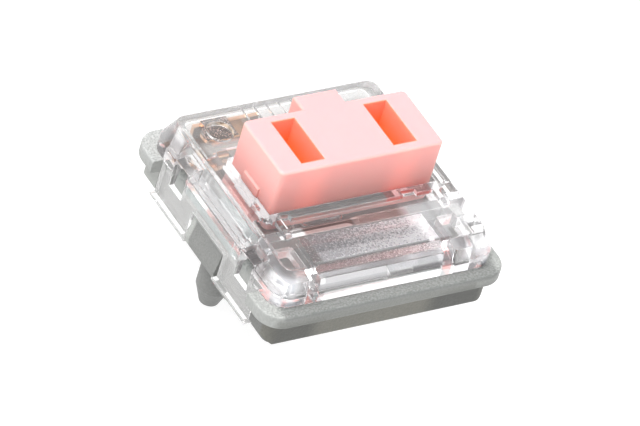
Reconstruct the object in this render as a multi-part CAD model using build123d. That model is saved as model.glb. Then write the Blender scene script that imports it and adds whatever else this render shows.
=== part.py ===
import os

from build123d import *

# Low-profile keyboard switch, in millimetres.
# The circuit board's upper face is z = 0 and the centre post's axis is the z axis.
# X runs along the stem's long side, +Y points to the contact side and -Y to the lamp window.

# Base: flange, body and floor
flange_side = 15.0
flange_reach = 0.6
flange_under_z = 2.2
flange_thick = 0.8
flange_corner = 1.35
flange_top_edge = 0.12
flange_low_edge = 0.12
body_corner = 0.7
body_rim_z = 0.5
body_edge = 0.2
lead_in_x = 0.65
lead_in_z = 0.5
sole_inset = 0.6
sole_corner = 0.6
base_wall = 0.6
end_wall = 0.8
floor_thick = 0.6
cavity_corner = 0.4

# Posts under the base
centre_post_radius = 1.7
side_post_radius = 0.95
side_post_offset = 5.5
post_length = 2.65
centre_post_tip = 0.45
centre_post_taper = 0.2
side_post_tip = 1.1
side_post_taper = 0.4

# Lamp window through the base
lamp_inset = 2.2
lamp_width = 5.0
lamp_depth = 2.5

# Snap skirts of the cover and what meets them on the base
skirt_thick = 0.65
skirt_gap = 0.05
skirt_front_y = -5.12
skirt_back_y = 5.15
skirt_corner = 0.5
skirt_foot_z = 0.3
barb_reach = 0.33
barb_tip_z = 0.8
barb_top_z = 0.9
clip_half_width = 1.55
clip_nose = 0.12
clip_nose_z = 0.95
clip_top_z = 2.3
clip_window_gap = 0.15
catch_back_y = 3.51
catch_back_half = 0.45
catch_front_y = -3.62
catch_front_half = 0.46
catch_low_z = 2.28
catch_top_z = 3.84
catch_reach = 0.5
window_gap = 0.18
window_gap_z = 0.12

# Cover
cover_seat_gap = 0.02
cover_foot_inset_x = 0.05
cover_foot_inset_y = 0.12
cover_top_inset_x = 0.69
cover_top_inset_y = 0.74
cover_foot_corner = 1.05
cover_top_corner = 0.55
cover_edge = 0.12
cover_shoulder_z = 3.8
deck_z = 5.05
ceiling_z = 4.25
lamp_ceiling_z = 3.8
cover_wall_foot = 0.75
pilaster_wall = 0.15
hump_front_y = -2.3
hump_back_y = 2.7
collar_rise = 0.27
collar_wall_x = 0.455
collar_wall_front = 0.21
collar_wall_back = 0.71
collar_corner = 0.35
rim_bar_thick = 0.35
rim_bar_left_inset = 0.925
rim_bar_right_inset = 2.225
rim_block_inset = 1.325
gusset_half_width = 0.2
gusset_inset = 0.72
gusset_flat = 1.08
gusset_slope = 0.2
lamp_rib_inset = 1.45
lamp_rib_thick = 0.65
corner_bay_wall = 0.93
dimple_inset_x = 1.96
dimple_inset_y = 1.6
dimple_radius = 0.75
dimple_depth = 0.3
line_pitch = 0.75
line_count = 7
line_width = 0.1
line_depth = 0.12
line_far_inset = 0.3
line_length = 0.95

# Stem
stem_width = 10.05
stem_depth = 4.29
stem_centre_y = 0.025
stem_top_z = 8.0
stem_edge = 0.16
stem_corner = 0.3
stem_gap = 0.12
socket_width = 1.43
socket_length = 3.28
socket_depth = 3.3
socket_offset = 2.85
tab_half_width = 1.32
tab_reach = 1.03
ear_reach = 0.38
ear_half_width = 1.1
ear_top_z = 4.2
end_rib_reach = 0.1
end_rib_half_width = 0.75
end_rib_top_z = 5.8
barrel_radius = 2.0
spring_bore_radius = 1.45
spring_bore_top_z = 5.4
under_pocket = 0.5
travel = 3.0
stem_floor_gap = 0.1
cam_half_width = 1.0
cam_foot_z = 3.2
cam_top_z = 4.1
cam_gap = 0.07

# Return spring
spring_radius = 1.2
spring_wire = 0.2
spring_turns = 6.5
spring_sides = 6
spring_post_radius = 0.9
spring_post_height = 0.8
spring_seat_gap = 0.02

# Contact set
sheet = 0.25
leaf_thick = 0.12
pin_width = 0.9
pin_length = 3.0
shoulder = 0.1
moving_pin_inset = 0.6
contact_pitch = 0.55
wall_gap = 0.075
slot_gap = 0.05
strip_low_z = 1.3
strip_high_z = 2.9
contact_plate_gap = 0.155
contact_plate_width = 1.925
contact_plate_high_z = 3.6
riser_width = 4.4
riser_drop = 0.175
contact_tab_drop = 0.2
contact_tab_inset = 0.4
contact_tab_width = 2.0
contact_tab_depth = 1.1
contact_tab_gap = 0.3
contact_tab_corner = 0.45
contact_tab_lip = 0.45
contact_inset = 1.2
contact_z = 2.9
contact_side = 0.9
fixed_contact_thick = 0.15
moving_contact_thick = 0.12
leaf_low_z = 2.3
leaf_high_z = 3.6
leaf_waist_low_z = 3.0
leaf_waist_half_width = 1.6
leaf_tip_reach = 0.5
leaf_root_gap = 0.035
terminal_plate_high_z = 3.7
bend_radius = 0.3

# Worked out from the sizes above
flange_top_z = flange_under_z + flange_thick
body_side = flange_side - 2 * flange_reach
body_half = body_side / 2
sole_depth = body_side - 2 * sole_inset
lamp_centre_y = lamp_inset - body_half
catch_places = [(catch_back_y, catch_back_half), (catch_front_y, catch_front_half)]
skirt_inner_x = body_half - skirt_thick
recess_x = skirt_inner_x - skirt_gap
cavity_half_x = recess_x - base_wall
cavity_half_y = body_half - end_wall
stem_foot_z = floor_thick + stem_floor_gap + travel
stem_front_y = stem_centre_y - stem_depth / 2
stem_back_y = stem_centre_y + stem_depth / 2
tab_back_y = stem_back_y + tab_reach
cover_foot_z = flange_top_z + cover_seat_gap
cover_foot_width = body_side - 2 * cover_foot_inset_x
cover_foot_depth = body_side - 2 * cover_foot_inset_y
cover_top_width = body_side - 2 * cover_top_inset_x
cover_top_depth = body_side - 2 * cover_top_inset_y
collar_top_z = deck_z + collar_rise
collar_half_width = stem_width / 2 + stem_gap + collar_wall_x
collar_front_y = stem_front_y - stem_gap - collar_wall_front
collar_back_y = stem_back_y + stem_gap + collar_wall_back
rim_bar_left_x = rim_bar_left_inset - stem_width / 2
rim_bar_right_x = stem_width / 2 - rim_bar_right_inset
rim_bar_front_y = collar_front_y - rim_bar_thick
rim_block_inner_x = stem_width / 2 - rim_block_inset
gusset_x = collar_half_width - gusset_inset
lamp_rib_x = cavity_half_x - lamp_rib_inset
dimple_x = dimple_inset_x - cover_top_width / 2
dimple_y = cover_top_depth / 2 - dimple_inset_y
line_far_y = cover_top_depth / 2 - line_far_inset
line_near_y = line_far_y - line_length
guide_thick = 0.5
guide_gap = 0.3
leg_slot_gap = 0.15
sheet_half = sheet / 2
back_guide_y = stem_back_y + guide_gap
contact_plate_y = back_guide_y + guide_thick + contact_plate_gap + sheet_half
moving_pin_y = contact_plate_y + contact_pitch
moving_pin_x = cavity_half_x - moving_pin_inset
fixed_pin_y = cavity_half_y - wall_gap - sheet_half
return_strip_x = wall_gap + sheet_half - cavity_half_x
contact_plate_inner_x = return_strip_x - sheet_half + contact_plate_width
contact_tab_z = ceiling_z - contact_tab_drop
contact_tab_left_x = return_strip_x + contact_tab_inset
contact_tab_right_x = contact_tab_left_x + contact_tab_width
contact_tab_back_y = fixed_pin_y - sheet_half - contact_tab_gap
contact_tab_front_y = contact_tab_back_y - contact_tab_depth
riser_right_x = return_strip_x + riser_width
riser_high_z = contact_tab_z + sheet_half - riser_drop
contact_x = return_strip_x + contact_inset
leaf_tip_x = contact_x - leaf_tip_reach
leaf_front_y = moving_pin_y + sheet_half + leaf_root_gap
leaf_y = leaf_front_y + leaf_thick / 2
far = 20.0


def block(x0, x1, y0, y1, z0, z1):
    # A box between two opposite corners.
    middle = Pos((x0 + x1) / 2, (y0 + y1) / 2, (z0 + z1) / 2)
    return middle * Box(x1 - x0, y1 - y0, z1 - z0)


def rounded_slab(width, depth, corner, z0, z1):
    # A slab with round vertical corners, centred on the z axis.
    return Pos(0, 0, z0) * extrude(RectangleRounded(width, depth, corner), z1 - z0)


def side_profile(points, y0, y1):
    # An outline in the XZ plane, carried along Y from y0 to y1.
    outline = Plane.XZ * make_face(Polyline(*points, close=True))
    return Pos(0, (y0 + y1) / 2, 0) * extrude(outline, (y1 - y0) / 2, both=True)


def both_sides(solid):
    # The solid and its mirror image across the YZ plane.
    return solid + mirror(solid, about=Plane.YZ)


def flat_pin(x, y):
    # A flat pin with a chamfered tip, from under the board up to the terminal's shoulder.
    half_width = pin_width / 2
    pin = block(
        x - half_width,
        x + half_width,
        y - sheet_half,
        y + sheet_half,
        -pin_length,
        floor_thick + bend_radius,
    )
    return chamfer(pin.edges().filter_by(Axis.Y).group_by(Axis.Z)[0], sheet)


def upright(radius, z0, z1, x=0.0, y=0.0):
    # A round bar between two heights.
    return Pos(x, y, (z0 + z1) / 2) * Cylinder(radius, z1 - z0)


def base_post(x, radius, tip_length, taper):
    # A round post with a tapered tip and a square root in the base's floor.
    tip_top_z = tip_length - post_length
    tip = Pos(x, 0, (tip_top_z - post_length) / 2) * Cone(radius - taper, radius, tip_length)
    root = block(x - radius, x + radius, -radius, radius, 0, body_rim_z)
    return upright(radius, tip_top_z, body_rim_z / 2, x) + tip + root


def clip_and_catches():
    # The plate clip and the two skirt catches on the base's +X side.
    clip = side_profile(
        [
            (recess_x - base_wall / 2, clip_top_z),
            (body_half - clip_nose, clip_top_z),
            (body_half + clip_nose, clip_nose_z),
            (body_half, body_rim_z),
            (recess_x - base_wall / 2, body_rim_z),
        ],
        -clip_half_width,
        clip_half_width,
    )
    catch_outline = [
        (cavity_half_x + skirt_gap, flange_under_z),
        (recess_x, flange_under_z),
        (recess_x, catch_low_z),
        (recess_x + catch_reach, catch_low_z),
        (recess_x + catch_reach, (catch_low_z + catch_top_z) / 2),
        (recess_x, catch_top_z),
        (cavity_half_x + skirt_gap, catch_top_z),
    ]
    for y, half in catch_places:
        clip += side_profile(catch_outline, y - half, y + half)
    return clip


def make_bottom_housing():
    flange = rounded_slab(flange_side, flange_side, flange_corner, flange_under_z, flange_top_z)
    flange = fillet(flange.faces().sort_by(Axis.Z)[-1].edges(), flange_top_edge)
    flange = fillet(flange.faces().sort_by(Axis.Z)[0].edges(), flange_low_edge)
    body = rounded_slab(body_side, body_side, body_corner, body_rim_z, flange_under_z)
    body = fillet(body.faces().sort_by(Axis.Z)[0].edges(), body_edge)
    lead_in = side_profile(
        [
            (body_half - 2 * lead_in_x, body_rim_z - lead_in_z),
            (body_half + lead_in_x, body_rim_z - lead_in_z),
            (body_half + lead_in_x, body_rim_z + 2 * lead_in_z),
        ],
        -far,
        far,
    )
    body -= both_sides(lead_in)
    sole = rounded_slab(2 * recess_x, sole_depth, sole_corner, 0, flange_under_z)
    shell = flange + body + sole

    recess = block(recess_x, far, skirt_front_y - skirt_gap, skirt_back_y + skirt_gap, -far, far)
    shell -= both_sides(recess)
    cavity = rounded_slab(2 * cavity_half_x, 2 * cavity_half_y, cavity_corner, floor_thick, far)
    shell -= cavity
    shell += both_sides(clip_and_catches())

    guide_y = stem_front_y - guide_gap
    front_guide = block(
        -cavity_half_x, cavity_half_x, guide_y - guide_thick, guide_y, floor_thick, flange_top_z
    )
    back_guide = block(
        leaf_waist_half_width + guide_gap,
        cavity_half_x,
        back_guide_y,
        back_guide_y + guide_thick,
        floor_thick,
        leaf_low_z,
    )
    shell += front_guide + both_sides(back_guide)

    spring_post = upright(spring_post_radius, 0, floor_thick + spring_post_height)
    shell += fillet(spring_post.edges().filter_by(GeomType.CIRCLE).group_by(Axis.Z)[-1], stem_edge)
    shell += base_post(0, centre_post_radius, centre_post_tip, centre_post_taper)
    shell += both_sides(base_post(side_post_offset, side_post_radius, side_post_tip, side_post_taper))

    lamp_hole = Pos(0, lamp_centre_y, 0) * Box(lamp_width, lamp_depth, far)
    lamp_hole = fillet(lamp_hole.edges().filter_by(Axis.Z), cavity_corner)
    shell -= lamp_hole & block(-far, far, -far, far, -far, flange_top_z)
    leg_slot = block(
        -cam_half_width - leg_slot_gap,
        cam_half_width + leg_slot_gap,
        tab_back_y - end_wall - leg_slot_gap,
        leaf_front_y + leg_slot_gap,
        -far,
        floor_thick + skirt_gap,
    )
    shell -= leg_slot
    shell -= pin_slot(0, fixed_pin_y)
    shell -= pin_slot(moving_pin_x, moving_pin_y)
    return shell


def pin_slot(x, y):
    # The slot in the floor that a flat pin passes through.
    half_width = pin_width / 2 + slot_gap
    half_thick = sheet_half + slot_gap
    return block(x - half_width, x + half_width, y - half_thick, y + half_thick, -far, flange_under_z)


def cover_outside():
    # The cover with its upright foot, tapered top, side humps, pilasters and skirts, still solid.
    foot = RectangleRounded(cover_foot_width, cover_foot_depth, cover_foot_corner)
    top = RectangleRounded(cover_top_width, cover_top_depth, cover_top_corner)
    shoulder = Pos(0, 0, cover_shoulder_z) * foot
    deck = Pos(0, 0, deck_z) * top
    shell = loft([shoulder.face(), deck.face()], ruled=True)
    shell = fillet(shell.faces().sort_by(Axis.Z)[-1].edges(), cover_edge)
    shell += Pos(0, 0, cover_foot_z) * extrude(foot, cover_shoulder_z - cover_foot_z)

    root_x = cover_foot_width / 2 - cover_wall_foot
    top_half = cover_top_width / 2
    crest_x = collar_half_width
    hump = side_profile(
        [
            (crest_x - cover_wall_foot, deck_z - cover_wall_foot),
            (crest_x - cover_wall_foot, collar_top_z),
            (crest_x, collar_top_z),
            (top_half, deck_z),
            (body_half, catch_top_z),
            (body_half, cover_foot_z),
            (root_x, cover_foot_z),
        ],
        hump_front_y,
        hump_back_y,
    )
    pilaster_outline = [
        (root_x, cover_foot_z),
        (body_half, cover_foot_z),
        (body_half, catch_top_z + window_gap_z),
        (top_half, deck_z),
        (root_x, deck_z),
    ]
    side = hump
    for y, half in catch_places:
        reach = half + window_gap + pilaster_wall
        side += side_profile(pilaster_outline, y - reach, y + reach)
    skirt = side_profile(
        [
            (skirt_inner_x, cover_foot_z),
            (skirt_inner_x, skirt_foot_z),
            (body_half, skirt_foot_z),
            (body_half + barb_reach, barb_tip_z),
            (body_half + barb_reach, barb_top_z),
            (body_half, barb_top_z),
            (body_half, cover_foot_z),
        ],
        skirt_front_y,
        skirt_back_y,
    )
    ends = block(0, far, skirt_front_y, skirt_back_y, skirt_foot_z, cover_foot_z)
    ends = fillet(ends.edges().filter_by(Axis.X).group_by(Axis.Z)[0], skirt_corner)
    return shell + both_sides(side + (skirt & ends))


def collar():
    # The raised rim round the stem, with its thicker front bar and end blocks.
    low_z = deck_z - cover_edge
    rim = block(
        -collar_half_width, collar_half_width, collar_front_y, collar_back_y, low_z, collar_top_z
    )
    rim = fillet(rim.edges().filter_by(Axis.Z).group_by(Axis.Y)[-1], collar_corner)
    bay_half = tab_half_width + stem_gap + collar_corner
    rim += block(-bay_half, bay_half, 0, tab_back_y + 2 * collar_corner, low_z, collar_top_z)
    bar = block(rim_bar_left_x, rim_bar_right_x, rim_bar_front_y, collar_front_y, low_z, collar_top_z)
    outer_x = collar_half_width - collar_corner
    right_block = block(rim_block_inner_x, outer_x, rim_bar_front_y, collar_front_y, low_z, collar_top_z)
    left_block = block(-outer_x, -gusset_x, rim_bar_front_y, collar_front_y, low_z, collar_top_z)
    gusset_outline = Plane.YZ * make_face(
        Polyline(
            (collar_front_y, low_z),
            (collar_front_y, collar_top_z),
            (rim_bar_front_y - gusset_flat, collar_top_z),
            (rim_bar_front_y - gusset_flat - gusset_slope, low_z),
            close=True,
        )
    )
    gusset = Pos(gusset_x, 0, 0) * extrude(gusset_outline, gusset_half_width, both=True)
    return rim + bar + right_block + left_block + both_sides(gusset)


def cover_inside():
    # Everything hollow in the cover: mechanism bay, lamp bay, stem opening and windows.
    foot_z = flange_top_z
    inner_half_x = cavity_half_x + skirt_gap
    inner_front_y = base_wall / 2 - cavity_half_y
    front_y = stem_front_y - guide_gap - guide_thick
    bay = block(-inner_half_x, inner_half_x, front_y, cavity_half_y, foot_z - skirt_gap, ceiling_z)
    bay = fillet(bay.edges().filter_by(Axis.Z).group_by(Axis.Y)[-1], cavity_corner)
    lamp_inner_x = lamp_rib_x - lamp_rib_thick / 2
    lamp_bay = block(
        -lamp_inner_x, lamp_inner_x, inner_front_y, front_y - guide_thick, foot_z - skirt_gap, lamp_ceiling_z
    )
    corner_bay = block(
        lamp_rib_x + lamp_rib_thick / 2,
        inner_half_x,
        inner_front_y,
        front_y - corner_bay_wall,
        foot_z - skirt_gap,
        lamp_ceiling_z,
    )
    corner_bay = fillet(corner_bay.edges().filter_by(Axis.Z), stem_edge)

    half_x = stem_width / 2 + stem_gap
    opening = block(-half_x, half_x, stem_front_y - stem_gap, stem_back_y + stem_gap, 0, far)
    rib_half = end_rib_half_width + stem_gap
    rib_x = half_x + end_rib_reach
    opening += block(-rib_x, rib_x, -rib_half, rib_half, 0, far)
    tab_half = tab_half_width + stem_gap
    opening += block(-tab_half, tab_half, 0, tab_back_y + stem_gap, 0, far)
    ear_x = half_x + ear_reach
    ear_half = ear_half_width + stem_gap
    opening += block(-ear_x, ear_x, -ear_half, ear_half, 0, ceiling_z)

    windows = []
    for y, half in catch_places:
        low_y = y - half - window_gap
        high_y = y + half + window_gap
        high_z = catch_top_z + window_gap_z
        windows.append(block(recess_x, far, low_y, high_y, catch_low_z - window_gap_z, high_z))
        windows.append(block(cavity_half_x - skirt_gap, recess_x, low_y, high_y, 0, high_z))
    clip_window = block(
        0,
        far,
        -clip_half_width - clip_window_gap,
        clip_half_width + clip_window_gap,
        -far,
        clip_top_z + window_gap_z,
    )
    return bay + lamp_bay + both_sides(corner_bay) + opening + both_sides(clip_window + windows)


def make_top_housing():
    shell = cover_outside() + collar()
    shell -= cover_inside()
    shell -= upright(dimple_radius, deck_z - dimple_depth, far, dimple_x, dimple_y)
    for index in range(line_count):
        x = (index - (line_count - 1) / 2) * line_pitch
        shell -= block(
            x - line_width / 2,
            x + line_width / 2,
            line_near_y,
            line_far_y,
            deck_z - line_depth,
            far,
        )
    return shell


def make_stem():
    body = Pos(0, stem_centre_y, 0) * rounded_slab(
        stem_width, stem_depth, stem_corner, stem_foot_z, stem_top_z
    )
    tab = block(-tab_half_width, tab_half_width, 0, tab_back_y, stem_foot_z, stem_top_z)
    body += tab
    body = fillet(body.faces().sort_by(Axis.Z)[-1].edges(), stem_edge)

    half_x = stem_width / 2
    ear = block(
        half_x - ear_reach, half_x + ear_reach, -ear_half_width, ear_half_width, stem_foot_z, ear_top_z
    )
    rib = side_profile(
        [
            (half_x - end_rib_reach, stem_foot_z),
            (half_x + end_rib_reach, stem_foot_z),
            (half_x + end_rib_reach, end_rib_top_z - end_rib_reach),
            (half_x - end_rib_reach, end_rib_top_z + end_rib_reach),
        ],
        -end_rib_half_width,
        end_rib_half_width,
    )
    body += both_sides(ear + rib)
    body += make_cam()

    for side in (-1, 1):
        socket = Pos(side * socket_offset, stem_centre_y, stem_top_z) * Box(
            socket_width,
            socket_length,
            2 * socket_depth,
        )
        body -= socket
    body -= upright(spring_bore_radius, stem_foot_z - skirt_gap, spring_bore_top_z)
    pocket_half_y = stem_depth / 2 - end_wall
    pocket = block(
        barrel_radius,
        half_x - end_wall,
        stem_centre_y - pocket_half_y,
        stem_centre_y + pocket_half_y,
        stem_foot_z,
        stem_foot_z + under_pocket,
    )
    return body - both_sides(pocket)


def make_cam():
    # The leg behind the tab whose ramp holds the leaf back while the stem is up.
    face_y = leaf_front_y - cam_gap
    outline = Plane.YZ * make_face(
        Polyline(
            (tab_back_y - end_wall, cam_top_z),
            (face_y - leaf_thick, cam_top_z),
            (face_y, cam_top_z - 2 * leaf_thick),
            (face_y, cam_foot_z + leaf_thick),
            (face_y - leaf_thick, cam_foot_z),
            (tab_back_y - end_wall, cam_foot_z),
            close=True,
        )
    )
    return extrude(outline, cam_half_width, both=True)


def make_return_spring():
    low_z = floor_thick + spring_seat_gap + spring_wire / 2
    high_z = spring_bore_top_z - spring_seat_gap - spring_wire / 2
    height = high_z - low_z
    path = Helix(height / spring_turns, height, spring_radius)
    section = Plane(path @ 0, z_dir=path % 0) * RegularPolygon(spring_wire / 2, spring_sides)
    return Pos(0, 0, low_z) * sweep(section, path, is_frenet=True)


def make_fixed_terminal():
    pin = flat_pin(0, fixed_pin_y)
    back_low = fixed_pin_y - sheet_half
    back_high = fixed_pin_y + sheet_half
    shoulder_x = pin_width / 2 + shoulder
    root = block(-shoulder_x, shoulder_x, back_low, back_high, floor_thick, strip_high_z)
    back_strip = block(
        return_strip_x - sheet_half, shoulder_x, back_low, back_high, strip_low_z, strip_high_z
    )
    plate_low = contact_plate_y - sheet_half
    side_strip = block(
        return_strip_x - sheet_half,
        return_strip_x + sheet_half,
        plate_low,
        back_high,
        strip_low_z,
        strip_high_z,
    )
    strip = back_strip + side_strip
    outer_corner = strip.edges().filter_by(Axis.Z).sort_by(lambda edge: edge.center().X - edge.center().Y)[0]
    strip = fillet(outer_corner, bend_radius)
    plate = block(
        return_strip_x - sheet_half,
        contact_plate_inner_x,
        plate_low,
        plate_low + sheet,
        strip_low_z,
        contact_plate_high_z,
    )
    riser = block(contact_tab_left_x, riser_right_x, back_low, back_high, strip_low_z, riser_high_z)
    return pin + root + strip + plate + riser + make_tab()


def make_tab():
    # The fixed terminal's flat tab under the dimple, with its neck and its front lip bent down.
    low_z = contact_tab_z - sheet_half
    high_z = contact_tab_z + sheet_half
    tab = block(
        contact_tab_left_x, contact_tab_right_x, contact_tab_front_y, contact_tab_back_y, low_z, high_z
    )
    tab = fillet(tab.edges().filter_by(Axis.Z).group_by(Axis.X)[0], contact_tab_corner)
    round_end_x = contact_tab_left_x + contact_tab_corner
    neck = block(
        round_end_x,
        contact_tab_right_x,
        contact_tab_back_y - sheet,
        fixed_pin_y + sheet_half,
        low_z,
        high_z,
    )
    lip = block(
        round_end_x,
        contact_tab_right_x,
        contact_tab_front_y,
        contact_tab_front_y + sheet,
        high_z - contact_tab_lip,
        high_z,
    )
    return tab + neck + lip


def make_fixed_contact():
    face_y = contact_plate_y + sheet_half
    inlay = block(
        contact_x - contact_side / 2,
        contact_x + contact_side / 2,
        face_y,
        face_y + fixed_contact_thick,
        contact_z - contact_side / 2,
        contact_z + contact_side / 2,
    )
    return chamfer(inlay.faces().sort_by(Axis.Y)[-1].edges(), fixed_contact_thick / 2)


def make_moving_terminal():
    pin = flat_pin(moving_pin_x, moving_pin_y)
    shoulder_x = pin_width / 2 + shoulder
    plate = block(
        moving_pin_x - shoulder_x,
        moving_pin_x + shoulder_x,
        moving_pin_y - sheet_half,
        moving_pin_y + sheet_half,
        floor_thick,
        terminal_plate_high_z,
    )
    plate = fillet(plate.edges().filter_by(Axis.Y).group_by(Axis.Z)[-1], bend_radius)
    return pin + plate


def make_contact_leaf():
    root_x = moving_pin_x + pin_width / 2
    outline = Plane.XZ * make_face(
        Polyline(
            (root_x, leaf_low_z),
            (root_x, leaf_high_z),
            (leaf_tip_x, leaf_high_z),
            (leaf_tip_x, leaf_low_z),
            (-leaf_waist_half_width - leaf_thick, leaf_low_z),
            (-leaf_waist_half_width, leaf_waist_low_z),
            (leaf_waist_half_width, leaf_waist_low_z),
            (leaf_waist_half_width + leaf_thick, leaf_low_z),
            close=True,
        )
    )
    return Pos(0, leaf_y, 0) * extrude(outline, leaf_thick / 2, both=True)


def make_moving_contact():
    inlay = block(
        contact_x - contact_side / 2,
        contact_x + contact_side / 2,
        leaf_front_y - moving_contact_thick,
        leaf_front_y,
        contact_z - contact_side / 2,
        contact_z + contact_side / 2,
    )
    return chamfer(inlay.faces().sort_by(Axis.Y)[0].edges(), moving_contact_thick / 2)


pieces = {
    "bottom_housing": make_bottom_housing,
    "top_housing": make_top_housing,
    "stem": make_stem,
    "return_spring": make_return_spring,
    "fixed_terminal": make_fixed_terminal,
    "fixed_contact": make_fixed_contact,
    "moving_terminal": make_moving_terminal,
    "contact_leaf": make_contact_leaf,
    "moving_contact": make_moving_contact,
}

os.makedirs("parts", exist_ok=True)
for name, make in pieces.items():
    solid = make()
    export_step(solid, "parts/" + name + ".step")
    print(name, "volume", round(solid.volume, 3))
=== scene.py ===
from math import radians

import bpy
import numpy as np
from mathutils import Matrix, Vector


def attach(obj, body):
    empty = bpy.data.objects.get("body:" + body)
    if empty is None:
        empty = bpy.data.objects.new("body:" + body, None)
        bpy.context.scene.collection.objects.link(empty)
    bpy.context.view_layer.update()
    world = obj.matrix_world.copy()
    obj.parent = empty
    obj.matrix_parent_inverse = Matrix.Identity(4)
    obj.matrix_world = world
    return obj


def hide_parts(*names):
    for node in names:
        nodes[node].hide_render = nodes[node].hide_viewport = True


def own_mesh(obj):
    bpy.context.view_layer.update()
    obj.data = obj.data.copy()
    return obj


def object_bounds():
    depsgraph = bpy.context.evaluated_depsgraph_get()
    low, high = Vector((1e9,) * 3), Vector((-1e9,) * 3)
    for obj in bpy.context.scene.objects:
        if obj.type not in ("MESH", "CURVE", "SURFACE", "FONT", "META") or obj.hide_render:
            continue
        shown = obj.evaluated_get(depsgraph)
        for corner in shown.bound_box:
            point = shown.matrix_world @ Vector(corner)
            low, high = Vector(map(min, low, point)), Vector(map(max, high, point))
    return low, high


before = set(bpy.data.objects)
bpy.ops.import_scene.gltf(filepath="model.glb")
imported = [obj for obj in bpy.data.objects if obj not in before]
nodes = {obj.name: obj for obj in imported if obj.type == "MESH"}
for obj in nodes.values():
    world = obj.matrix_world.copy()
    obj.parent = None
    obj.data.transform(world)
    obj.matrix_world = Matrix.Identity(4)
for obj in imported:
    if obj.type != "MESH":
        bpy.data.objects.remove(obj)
cadLow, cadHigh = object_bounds()
mm = 0.001
print("frame loaded:", len(nodes), "nodes")


class Wire:
    # A shader socket. Maths on it is written as an expression, which adds the Math nodes it needs.
    def __init__(self, finish, socket):
        self.finish = finish
        self.socket = socket

    def maths(self, operation, *values):
        return self.finish.add("ShaderNodeMath", {"operation": operation}, dict(enumerate(values)))

    def __add__(self, other):
        return self.maths("ADD", self, other)

    def __radd__(self, other):
        return self.maths("ADD", other, self)

    def __sub__(self, other):
        return self.maths("SUBTRACT", self, other)

    def __rsub__(self, other):
        return self.maths("SUBTRACT", other, self)

    def __mul__(self, other):
        return self.maths("MULTIPLY", self, other)

    def __rmul__(self, other):
        return self.maths("MULTIPLY", other, self)

    def __abs__(self):
        return self.maths("ABSOLUTE", self)

    def step(self, low, high):
        # 0 below low, 1 above high and smooth between them
        sockets = {"Value": self, "From Min": low, "From Max": high}
        return self.finish.add("ShaderNodeMapRange", {"interpolation_type": "SMOOTHSTEP"}, sockets)

    def inside(self, low, high, soft):
        # 1 between low and high and 0 outside; an end given as None is left open
        if low is None:
            return 1 - self.step(high - soft, high + soft)
        above = self.step(low - soft, low + soft)
        return above if high is None else above * (1 - self.step(high - soft, high + soft))


class Finish:
    # One material with a Principled shader, and one method that adds any other node to it.
    def __init__(self, name, **sockets):
        self.material = bpy.data.materials.new(name)
        self.material.use_nodes = True
        self.tree = self.material.node_tree
        self.tree.nodes.clear()
        self.shader = self.tree.nodes.new("ShaderNodeBsdfPrincipled")
        output = self.tree.nodes.new("ShaderNodeOutputMaterial")
        self.tree.links.new(self.shader.outputs[0], output.inputs["Surface"])
        self.feed(self.shader, sockets)
        self.place = self.add("ShaderNodeTexCoord", out="Object")
        split = self.add("ShaderNodeSeparateXYZ", None, {0: self.place})
        self.axes = [Wire(self, spot) for spot in split.socket.node.outputs]
        self.bands = {}

    def feed(self, node, sockets):
        # Links or sets sockets, each found by its number, or by its name with _ or a space between words.
        for key, value in sockets.items():
            spot = node.inputs[key if isinstance(key, int) else key.replace("_", " ")]
            if isinstance(value, Wire):
                self.tree.links.new(value.socket, spot)
            else:
                spot.default_value = (*value, 1) if spot.type == "RGBA" else value

    def add(self, kind, settings=None, sockets=None, out=0):
        # Adds a node, makes its settings, feeds its sockets and gives one of its outputs.
        node = self.tree.nodes.new(kind)
        for key, value in (settings or {}).items():
            setattr(node, key, value)
        self.feed(node, sockets or {})
        return Wire(self, node.outputs[out])

    def noise(self, scale, detail=2.0, roughness=0.5):
        sockets = {"Vector": self.place, "Scale": scale, "Detail": detail, "Roughness": roughness}
        return self.add("ShaderNodeTexNoise", None, sockets)

    def blend(self, factor, first, second, kind="MIX"):
        # Sockets 0, 6 and 7 are a colour Mix node's factor and its two colours, and output 2 is its colour.
        sockets = {0: factor, 6: first, 7: second}
        return self.add("ShaderNodeMix", {"data_type": "RGBA", "blend_type": kind}, sockets, 2)

    def zone(self, xSpan, ySpan, zSpan, soft):
        # 1 inside a box given by its low and high x, y and z in mm, 0 outside; None leaves an axis
        # or an end open. Boxes that share a span share its nodes.
        mask = None
        for index, span in enumerate((xSpan, ySpan, zSpan)):
            if span is not None:
                key = (index, span, soft)
                if key not in self.bands:
                    low, high = (None if end is None else end * mm for end in span)
                    self.bands[key] = self.axes[index].inside(low, high, soft * mm)
                mask = self.bands[key] if mask is None else mask * self.bands[key]
        return mask

    def zones(self, start, rows):
        # Colours laid over one another, each in its own box; in this script, painted light and painted
        # shade.
        colour = start
        for xSpan, ySpan, zSpan, soft, paintedLightAndShade in rows:
            colour = self.blend(self.zone(xSpan, ySpan, zSpan, soft), colour, paintedLightAndShade)
        return colour

    def relief(self, height, look):
        # A normal that is rounded over at edges and carries fine bumps of this height.
        soft = self.add("ShaderNodeBevel", {"samples": look["edgeSamples"]}, {"Radius": look["edge"]})
        sockets = {
            "Height": height,
            "Strength": look["bumpStrength"],
            "Distance": look["bumpDepth"],
            "Normal": soft,
        }
        return self.add("ShaderNodeBump", None, sockets)

    def paint(self, **sockets):
        self.feed(self.shader, sockets)
        return self.material


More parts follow.
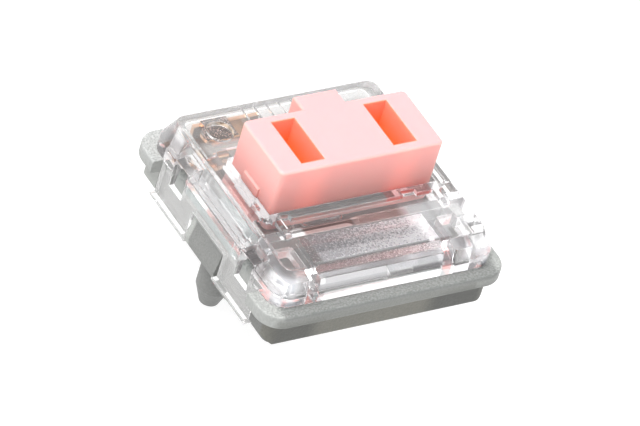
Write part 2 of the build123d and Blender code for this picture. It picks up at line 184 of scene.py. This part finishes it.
basePlastic = {
    "colour": (0.13, 0.133, 0.127),
    "pale": (0.265, 0.268, 0.26),
    "roughness": 0.5,
    "ior": 1.5,
    "grainScale": 8000,
    "grainRoughness": 0.7,
    "grainSpan": (0.3, 0.7),
    "sideGrain": 0.25,  # share of the grain in the colour, all over
    "topGrain": 0.6,  # what is added to it on the flange's top
    "flangeTop": (2.95 * mm, 2.99 * mm),
    "cloudScale": 500,
    "cloudShare": 0.3,
    "bumpStrength": 0.35,
    "bumpDepth": 0.04 * mm,
    "edge": 0.06 * mm,
    "edgeSamples": 4,
    "paintedLightAndShadeFactors": [
        # x, y and z spans in mm, soft edge in mm, factor on the colour (painted light above 1, shade below)
        # painted light on the flange, its top at the left and the back, and its front edge
        (None, None, (2.2, None), 0.05, (1.72, 1.74, 1.74)),
        ((None, -6.0), (-4.2, 4.2), (2.9, None), 0.5, (1.1, 1.13, 1.13)),
        (None, (5.2, None), (2.9, None), 0.5, (2.1, 2.1, 2.15)),
        ((-6.8, 5.5), (None, -6.75), (2.2, 2.8), 0.2, (1.15, 1.16, 1.13)),
        ((5.5, 7.2), (None, -6.75), (2.2, 2.8), 0.3, (1.5, 1.51, 1.5)),
        ((-6.5, 6.8), (None, -6.6), (2.76, None), 0.2, (1.0, 1.02, 1.02)),
        # below the flange: painted light on the left side's back, painted shade on the front and its two
        # ends
        ((None, -6.4), (1.2, None), (None, 2.2), 0.1, (1.9, 1.92, 1.9)),
        (None, (None, -6.3), (None, 2.2), 0.1, (0.92, 0.89, 0.80)),
        ((-6.6, -3.9), (None, -6.3), (None, 2.2), 0.6, (0.5, 0.5, 0.47)),
        ((3.2, 6.6), (None, -6.3), (None, 2.2), 0.6, (0.5, 0.5, 0.48)),
    ],
}


def basePlasticFinish(look):
    finish = Finish("greyBasePlastic", Roughness=look["roughness"], IOR=look["ior"])
    grain = finish.noise(look["grainScale"], roughness=look["grainRoughness"]).step(*look["grainSpan"])
    cloud = finish.noise(look["cloudScale"])
    top = finish.axes[2].step(*look["flangeTop"])
    grainShare = look["sideGrain"] + look["topGrain"] * top
    # Grain and cloud run from 0 to 1, so each is counted from its middle.
    spread = 0.5 + (grain - 0.5) * grainShare + (cloud - 0.5) * look["cloudShare"]
    colour = finish.blend(spread, look["colour"], look["pale"])
    # The base is lightened and darkened by region: painted light and painted shade.
    paintedLightAndShade = finish.zones((1.0, 1.0, 1.0), look["paintedLightAndShadeFactors"])
    colour = finish.blend(1.0, colour, paintedLightAndShade, "MULTIPLY")
    return finish.paint(Base_Color=colour, Normal=finish.relief(grain, look))


# The painted shade and reflections below, and the painted glows, stand for what a clear moulding bends and
# gathers by its thickness.
coverPlastic = {
    "colour": (1.0, 0.99, 0.992),
    # painted light: a faint glow from the whole cover
    "paintedGlowAllOver": (0.026, 0.0247, 0.0255),
    "clearness": 0.965,
    "ior": 1.4,
    "clearRoughness": 0.02,
    "frostRoughness": 0.34,  # added on the frosted panel
    "panelHalfWidth": 3.83 * mm,
    "panelFront": -5.3 * mm,
    "panelBack": -3.4 * mm,
    "panelCeiling": 3.8 * mm,
    "ceilingEdge": 0.01 * mm,
    "maskEdge": 0.03 * mm,
    "speckScale": 8200,
    "speckDetail": 3,
    "speckRoughness": 0.7,
    "speckDrift": 28.0,  # rise of the speckle's level for each metre to the right
    "darkSpan": (0.43, 0.53),
    "speckDark": (0.07, 0.055, 0.06),
    "brightSpan": (0.56, 0.66),
    # painted glints on the frosted panel's bright specks
    "paintedSpeckGlint": (0.40, 0.39, 0.40),
    # painted highlight at each front corner
    "cornerShine": (0.33, 0.34, 0.36),
    "cornerPlace": 6.0 * mm,
    "cornerRadius": 1.1 * mm,
    "cornerSpan": (3.2 * mm, 4.7 * mm),
    "cornerEdge": 0.2 * mm,
    "bumpStrength": 0.8,
    "bumpDepth": 0.06 * mm,
    "edge": 0.07 * mm,
    "edgeSamples": 4,
    "paintedShadeAndReflections": [
        # x, y and z spans in mm, soft edge in mm, colour of painted shade and painted reflection
        # painted shade on the front wall, from its brow down, each band from left to right
        ((-3.9, 1.5), (None, -6.0), (4.45, 5.2), 0.08, (0.92, 0.89, 0.90)),
        ((1.5, 3.9), (None, -6.0), (4.45, 5.2), 0.08, (0.85, 0.84, 0.86)),
        ((-3.9, -0.05), (None, -6.0), (4.08, 4.45), 0.06, (0.47, 0.455, 0.47)),
        ((-0.05, 1.8), (None, -6.0), (4.02, 4.45), 0.06, (0.88, 0.86, 0.90)),
        ((1.8, 4.1), (None, -6.0), (4.02, 4.45), 0.06, (0.70, 0.69, 0.72)),
        ((-4.3, -0.05), (None, -6.0), (3.78, 4.1), 0.06, (0.32, 0.32, 0.33)),
        ((-0.05, 1.5), (None, -6.0), (3.75, 4.02), 0.06, (0.50, 0.50, 0.49)),
        ((1.5, 4.1), (None, -6.0), (3.7, 4.05), 0.06, (0.25, 0.25, 0.26)),
        # painted reflection of the stem on the deck before it, then on the deck's strip along the collar
        ((-3.8, -0.7), (-5.3, -3.9), (4.9, 5.2), 0.15, (0.85, 0.80, 0.81)),
        ((-0.7, 2.6), (-5.3, -3.9), (4.9, 5.2), 0.3, (0.88, 0.84, 0.86)),
        ((-3.8, -0.7), (-3.95, -3.3), (4.9, 5.2), 0.12, (0.20, 0.10, 0.09)),
        ((-0.7, 2.6), (-3.95, -3.3), (4.9, 5.2), 0.12, (0.90, 0.51, 0.47)),
        # painted shade and reflection of the stem on the collar's front, low and high, and shade on its
        # left end
        ((-4.6, 1.8), (-3.4, -2.2), (5.1, 5.35), 0.04, (0.46, 0.53, 0.52)),
        ((-4.6, 1.8), (-3.4, -2.2), (5.35, 5.8), 0.04, (0.38, 0.31, 0.30)),
        ((1.8, 4.6), (-3.4, -2.2), (5.1, 5.35), 0.04, (0.66, 0.20, 0.19)),
        ((1.8, 4.6), (-3.4, -2.2), (5.35, 5.8), 0.04, (1.0, 0.60, 0.54)),
        ((-6.0, -4.9), (-3.2, 3.0), (5.0, 5.8), 0.05, (0.42, 0.39, 0.395)),
        # painted shade on the right wall, then on the left wall from front to back
        ((6.2, None), (-4.6, -1.2), (2.9, 4.2), 0.2, (0.66, 0.65, 0.66)),
        ((None, -6.1), (-5.2, -3.2), (3.5, 4.5), 0.15, (0.35, 0.33, 0.33)),
        ((None, -6.1), (-2.6, 2.6), (3.7, 4.5), 0.15, (0.75, 0.75, 0.755)),
        ((None, -6.1), (3.4, 5.6), (3.5, 4.5), 0.15, (0.44, 0.42, 0.42)),
        # painted bronze reflection on the dimple's wall, and dark spots of painted shade in the front
        # corners
        ((-5.2, -3.3), (3.7, 5.3), (4.78, 5.02), 0.04, (0.95, 0.66, 0.42)),
        ((-6.4, -5.2), (None, -6.3), (3.0, 3.42), 0.13, (0.10, 0.105, 0.115)),
        ((5.9, None), (None, -5.6), (3.0, 3.5), 0.1, (0.09, 0.095, 0.105)),
    ],
    "glows": [
        # x, y and z spans in mm, soft edge in mm, colour of the painted light
        # painted glow on the deck: its back, left of the stem, the dimple, the front edge, before the stem
        (None, (4.4, None), (4.6, 5.4), 0.2, (0.105, 0.11, 0.11)),
        ((-5.9, -2.4), (0.8, 3.8), (4.6, 5.4), 0.3, (0.34, 0.345, 0.345)),
        ((-5.25, -2.7), (3.85, 5.25), (4.3, 5.4), 0.12, (0.012, 0.007, 0.006)),
        ((-3.9, 4.1), (-6.0, -5.25), (4.9, 5.4), 0.08, (0.21, 0.215, 0.23)),
        ((-3.9, 2.7), (-5.25, -3.9), (4.9, 5.4), 0.08, (0.065, 0.08, 0.09)),
        # the front wall's foot, the deck's front right, and the right and left walls
        ((-3.9, 4.2), (None, -6.0), (2.9, 3.65), 0.05, (0.28, 0.30, 0.30)),
        ((2.3, 4.0), (-5.4, -3.2), (4.9, 5.4), 0.4, (0.36, 0.36, 0.375)),
        ((4.0, 5.9), (-5.4, -3.2), (4.9, 5.4), 0.2, (0.28, 0.28, 0.29)),
        ((5.6, None), (-6.2, -3.0), (4.2, 5.1), 0.2, (0.12, 0.12, 0.125)),
        ((None, -6.5), (-2.7, 2.7), (2.9, 3.75), 0.1, (0.12, 0.155, 0.155)),
        # the snap skirts, left front, left back and right
        ((None, -6.8), (None, 1.5), (None, 2.9), 0.1, (0.12, 0.123, 0.12)),
        ((None, -6.8), (1.5, None), (None, 2.9), 0.1, (0.15, 0.153, 0.15)),
        ((6.8, None), None, (None, 2.9), 0.1, (0.08, 0.083, 0.08)),
    ],
}


def coverPlasticFinish(look):
    finish = Finish(
        "clearCoverPlastic",
        Transmission_Weight=look["clearness"],
        IOR=look["ior"],
        Emission_Strength=1.0,
    )
    x, y, z = finish.axes
    near = look["maskEdge"]
    panelEnd = look["panelHalfWidth"]
    ceiling = look["panelCeiling"]
    acrossPanel = 1 - abs(x).step(panelEnd, panelEnd + near)
    panel = acrossPanel * y.inside(look["panelFront"], look["panelBack"], near)
    frost = panel * z.inside(ceiling - near, ceiling + near, look["ceilingEdge"])
    speck = finish.noise(look["speckScale"], look["speckDetail"], look["speckRoughness"])
    speck = speck + x * look["speckDrift"]
    # Painted shade and painted reflections laid on the cover's colour by region.
    colour = finish.zones(look["colour"], look["paintedShadeAndReflections"])
    colour = finish.blend(frost * (1 - speck.step(*look["darkSpan"])), colour, look["speckDark"])
    # The front corners carry a painted highlight in a round patch; the distance from its middle is kept
    # squared.
    alongX = abs(x) - look["cornerPlace"]
    alongY = y + look["cornerPlace"]
    fromCorner = alongX * alongX + alongY * alongY
    nearCorner = 1 - fromCorner.step(0.0, look["cornerRadius"] ** 2)
    corner = nearCorner * z.inside(*look["cornerSpan"], look["cornerEdge"])
    # Painted light: the glow all over, the glows by region, a highlight at each front corner and glints on
    # the frosted panel.
    shine = finish.zones(look["paintedGlowAllOver"], look["glows"])
    shine = finish.blend(corner, shine, look["cornerShine"])
    shine = finish.blend(frost * speck.step(*look["brightSpan"]), shine, look["paintedSpeckGlint"])
    rough = look["clearRoughness"] + frost * look["frostRoughness"]
    normal = finish.relief(speck * frost, look)
    return finish.paint(Base_Color=colour, Roughness=rough, Emission_Color=shine, Normal=normal)


stemPlastic = {
    "crown": (0.90, 0.395, 0.402),  # the top face, toned for how light falls on it: painted light and shade
    "colour": (0.90, 0.44, 0.41),  # the sides near the top
    "low": (0.73, 0.34, 0.313),  # the sides low down, darker: painted shade
    "shallow": (0.95, 0.36, 0.27),  # the sockets' walls near the top
    "deep": (1.0, 0.17, 0.045),  # the sockets' walls low down, darker and redder: painted shade and light through the walls
    "glow": (0.45, 0.05, 0.005),  # painted light, standing for light through the sockets' walls
    "glowShallow": 0.35,  # its share near the top
    "frontGlow": (0.10, 0.025, 0.012),  # painted light for light through the long sides, before and behind each socket
    "roughness": 0.4,
    "subsurface": 0.5,
    "subsurfaceDepth": 0.9 * mm,
    "subsurfaceRadius": (1.0, 0.45, 0.35),
    "socketMiddle": 2.85 * mm,
    "socketHalfWidth": 0.75 * mm,
    "socketHalfLength": 1.68 * mm,
    "middleY": 0.025 * mm,
    "top": 8.0 * mm,
    "socketDepths": (2.4 * mm, 0.1 * mm),  # depths are counted down from the top
    "sideDepths": (2.8 * mm, 0.2 * mm),
    "crownDepths": (0.06 * mm, 0.01 * mm),
    "frontGlowHalfWidth": 1.3 * mm,
    "frontGlowSpan": (1.9 * mm, 2.1 * mm),
    "maskEdge": 0.03 * mm,
    "grainScale": 5000,
    "bumpStrength": 0.08,
    "bumpDepth": 0.03 * mm,
    "edge": 0.05 * mm,
    "edgeSamples": 4,
}


def stemPlasticFinish(look):
    finish = Finish(
        "pinkStemPlastic",
        Roughness=look["roughness"],
        Subsurface_Weight=look["subsurface"],
        Subsurface_Scale=look["subsurfaceDepth"],
        Subsurface_Radius=look["subsurfaceRadius"],
        Emission_Strength=1.0,
    )
    x, y, z = finish.axes

    def rise(depths):
        # 0 deeper than the first of two depths, 1 above the second
        return z.step(look["top"] - depths[0], look["top"] - depths[1])

    near = look["maskEdge"]
    halfWidth = look["socketHalfWidth"]
    halfLength = look["socketHalfLength"]
    fromMiddle = abs(abs(x) - look["socketMiddle"])
    alongY = abs(y - look["middleY"])
    withinWidth = 1 - fromMiddle.step(halfWidth - near, halfWidth + near)
    socket = withinWidth * (1 - alongY.step(halfLength - near, halfLength + near))
    depth = 1 - rise(look["socketDepths"])
    # Painted shade: the sides darker low down, the top face toned apart, the sockets darker and redder low
    # down.
    outer = finish.blend(rise(look["sideDepths"]), look["low"], look["colour"])
    outer = finish.blend(rise(look["crownDepths"]), outer, look["crown"])
    inner = finish.blend(depth, look["shallow"], look["deep"])
    colour = finish.blend(socket, outer, inner)
    # Painted glow in the sockets, stronger low down, and on the long sides beside them.
    glowShare = look["glowShallow"] + (1 - look["glowShallow"]) * depth
    glow = finish.blend(socket * glowShare, (0.0, 0.0, 0.0), look["glow"])
    besideSocket = 1 - fromMiddle.step(0, look["frontGlowHalfWidth"])
    longSide = besideSocket * alongY.step(*look["frontGlowSpan"])
    glow = finish.blend(longSide, glow, look["frontGlow"], "ADD")
    normal = finish.relief(finish.noise(look["grainScale"]), look)
    return finish.paint(Base_Color=colour, Emission_Color=glow, Normal=normal)


bronze = {"colour": (0.83, 0.52, 0.33), "stain": (0.62, 0.36, 0.22), "roughness": 0.24}
inlay = {"colour": (0.92, 0.72, 0.42), "stain": (0.80, 0.58, 0.30), "roughness": 0.16}
steel = {"colour": (0.72, 0.72, 0.72), "stain": (0.56, 0.56, 0.57), "roughness": 0.22}
metalGrain = {"cloudScale": 900, "cloudDetail": 3, "fineScale": 6000, "fineRoughness": 0.12}


def stainedColour(finish, look):
    cloud = finish.noise(metalGrain["cloudScale"], metalGrain["cloudDetail"])
    return finish.blend(cloud, look["colour"], look["stain"])


def metalFinish(name, look):
    finish = Finish(name, Metallic=1.0)
    rough = look["roughness"] + metalGrain["fineRoughness"] * finish.noise(metalGrain["fineScale"])
    return finish.paint(Base_Color=stainedColour(finish, look), Roughness=rough)


tab = {
    "dark": (0.012, 0.008, 0.007),
    "fleck": (0.50, 0.36, 0.30),
    "speckScale": 10500,
    "speckRoughness": 0.6,
    "fleckSpan": (0.53, 0.61),
    "addedRoughness": 0.4,
    "height": 4.15 * mm,
    "front": 4.5 * mm,
    "maskEdge": 0.02 * mm,
}


def tabFinish(name, look, tabLook):
    # Bronze all over, apart from the tab's flat top, which is dark with bright flecks.
    finish = Finish(name)
    y, z = finish.axes[1:]
    near = tabLook["maskEdge"]
    upFace = z.step(tabLook["height"] - near, tabLook["height"])
    top = upFace * y.step(tabLook["front"] - near, tabLook["front"] + near)
    speck = finish.noise(tabLook["speckScale"], roughness=tabLook["speckRoughness"])
    flecked = finish.blend(speck.step(*tabLook["fleckSpan"]), tabLook["dark"], tabLook["fleck"])
    colour = finish.blend(top, stainedColour(finish, look), flecked)
    rough = look["roughness"] + tabLook["addedRoughness"] * top
    return finish.paint(Base_Color=colour, Metallic=1 - top, Roughness=rough)


bronzeFinish = metalFinish("stampedBronze", bronze)
inlayFinish = metalFinish("contactInlay", inlay)
steelFinish = metalFinish("springSteel", steel)
finishes = {
    "bottom_housing": basePlasticFinish(basePlastic),
    "top_housing": coverPlasticFinish(coverPlastic),
    "stem": stemPlasticFinish(stemPlastic),
    "fixed_terminal": tabFinish("stampedBronzeTab", bronze, tab),
    "moving_terminal": bronzeFinish,
    "contact_leaf": bronzeFinish,
    "fixed_contact": inlayFinish,
    "moving_contact": inlayFinish,
    "return_spring": steelFinish,
}
for name, material in finishes.items():
    slots = nodes[name].data.materials
    slots.clear()
    slots.append(material)
print("materials on the CAD nodes")


returnSpring = {
    "low": 0.62 * mm,
    "high": 5.38 * mm,
    "coilRadius": 1.2 * mm,
    "wireRadius": 0.1 * mm,
    "turns": 6.5,
    "closedTurn": 0.75,
    "closedPace": 0.25,  # pace of the rise at the very ends; the open turns have 1 more
    "stepsPerTurn": 40,
    "stepsRound": 12,
}


def gridMesh(name, points, closedAround):
    # A mesh of four-sided faces from a grid of points. With closedAround it is joined round its second
    # direction, as a tube is, and its two ends are capped.
    rows, columns = points.shape[:2]
    span = columns if closedAround else columns - 1
    row, column = np.meshgrid(np.arange(rows - 1), np.arange(span), indexing="ij")
    here = row * columns + column
    beside = row * columns + (column + 1) % columns
    faces = np.stack([here, beside, beside + columns, here + columns], -1).reshape(-1, 4).tolist()
    if closedAround:
        faces.append(list(range(columns))[::-1])
        faces.append(list(range((rows - 1) * columns, rows * columns)))
    mesh = bpy.data.meshes.new(name)
    mesh.from_pydata(points.reshape(-1, 3).tolist(), [], faces)
    return mesh


def windSpring(look, finish):
    # A round wire carried along a coil: centre = (R cos a, R sin a, height(a)), and the wire's own circle
    # stands across the coil's direction. The height rises slowly in the closed turn at each end.
    turns = look["turns"]
    closed = look["closedTurn"]
    radius = look["coilRadius"]
    wire = look["wireRadius"]
    turn = np.linspace(0, turns, int(turns * look["stepsPerTurn"]) + 1)
    lead = np.clip(turn / closed, 0, 1) * np.clip((turns - turn) / closed, 0, 1)
    pace = look["closedPace"] + lead
    rise = np.concatenate([[0], np.cumsum((pace[1:] + pace[:-1]) / 2)])
    height = look["low"] + wire + (look["high"] - look["low"] - 2 * wire) * rise / rise[-1]
    angle = 2 * np.pi * turn
    centre = np.stack([radius * np.cos(angle), radius * np.sin(angle), height], -1)
    along = np.gradient(centre, axis=0)
    along /= np.linalg.norm(along, axis=1, keepdims=True)
    outward = np.stack([np.cos(angle), np.sin(angle), 0 * angle], -1)
    across = np.cross(along, outward)
    around = np.linspace(0, 2 * np.pi, look["stepsRound"], endpoint=False)
    cosine = np.cos(around)[None, :, None]
    sine = np.sin(around)[None, :, None]
    ring = outward[:, None] * cosine + across[:, None] * sine
    mesh = gridMesh("springWire", centre[:, None] + wire * ring, True)
    mesh.polygons.foreach_set("use_smooth", np.ones(len(mesh.polygons), dtype=bool))
    mesh.materials.append(finish)
    spring = bpy.data.objects.new("springWire", mesh)
    bpy.context.scene.collection.objects.link(spring)
    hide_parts("return_spring")
    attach(spring, "housing")
    # With the stem fully down, the spring keeps 0.37 of its height above its seat in the base.
    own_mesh(spring)


windSpring(returnSpring, steelFinish)
print("return spring wound")


studio = {
    "floorHalfSide": 1.2,
    "floorPoints": 41,
    "floorGap": 0.02 * mm,
    "floorColour": (0.20, 0.20, 0.20),
    "floorPatch": (0.22, 0.22, 0.22),
    "floorPatchScale": 60,
    "floorRoughness": 0.9,
    "floorLight": (1.0, 1.0, 1.0),
    "floorGlow": 0.9,
    "worldColour": (1.0, 1.0, 1.0),
    "worldStrength": 0.85,
    "keyPower": 1.05,  # watts
    "keyPlace": (-0.09, -0.01, 0.28),  # metres, as the size
    "keySize": 0.2,
}


def layFloor(look):
    # A flat square grid under the pins: x = u * half side, y = v * half side and z = the lowest point less
    # a hair, with u and v from -1 to 1. It glows, as a light table does.
    half = look["floorHalfSide"]
    across = np.linspace(-1, 1, look["floorPoints"])
    u, v = np.meshgrid(across, across, indexing="ij")
    points = np.stack([u * half, v * half, np.full_like(u, cadLow.z - look["floorGap"])], -1)
    mesh = gridMesh("studioFloor", points, False)
    floor = bpy.data.objects.new("studioFloor", mesh)
    bpy.context.scene.collection.objects.link(floor)
    finish = Finish(
        "paleFloor",
        Roughness=look["floorRoughness"],
        Emission_Color=look["floorLight"],
        Emission_Strength=look["floorGlow"],
    )
    patch = finish.noise(look["floorPatchScale"])
    colour = finish.blend(patch, look["floorColour"], look["floorPatch"])
    mesh.materials.append(finish.paint(Base_Color=colour))


def lightStudio(look):
    world = bpy.data.worlds.new("studioWorld")
    world.use_nodes = True
    background = world.node_tree.nodes["Background"]
    background.inputs["Color"].default_value = (*look["worldColour"], 1)
    background.inputs["Strength"].default_value = look["worldStrength"]
    bpy.context.scene.world = world
    lamp = bpy.data.lights.new("keySoftbox", "AREA")
    lamp.energy = look["keyPower"]
    lamp.shape = "DISK"
    lamp.size = look["keySize"]
    key = bpy.data.objects.new("keySoftbox", lamp)
    bpy.context.scene.collection.objects.link(key)
    key.location = look["keyPlace"]
    aim = -key.location.normalized()  # towards the origin
    key.rotation_euler = aim.to_track_quat("-Z", "Y").to_euler()


cameraView = {
    "place": (-0.19159336, -0.21828171, 0.2408576),  # metres, fitted to the photograph's view
    "turnDegrees": (49.23856, -13.54818, -29.87319),
    "lens": 401.884,  # mm, as the sensor
    "sensor": 36.0,
    "nearest": 0.01,  # metres, as farthest
    "farthest": 20,
}


def setCamera(look):
    data = bpy.data.cameras.new("photoCamera")
    data.lens = look["lens"]
    data.sensor_width = look["sensor"]
    data.clip_start = look["nearest"]
    data.clip_end = look["farthest"]
    camera = bpy.data.objects.new("photoCamera", data)
    bpy.context.scene.collection.objects.link(camera)
    camera.location = look["place"]
    camera.rotation_euler = [radians(turn) for turn in look["turnDegrees"]]
    bpy.context.scene.camera = camera


layFloor(studio)
lightStudio(studio)
setCamera(cameraView)
bpy.context.scene.view_settings.view_transform = "Standard"
print("studio, lights and camera set")
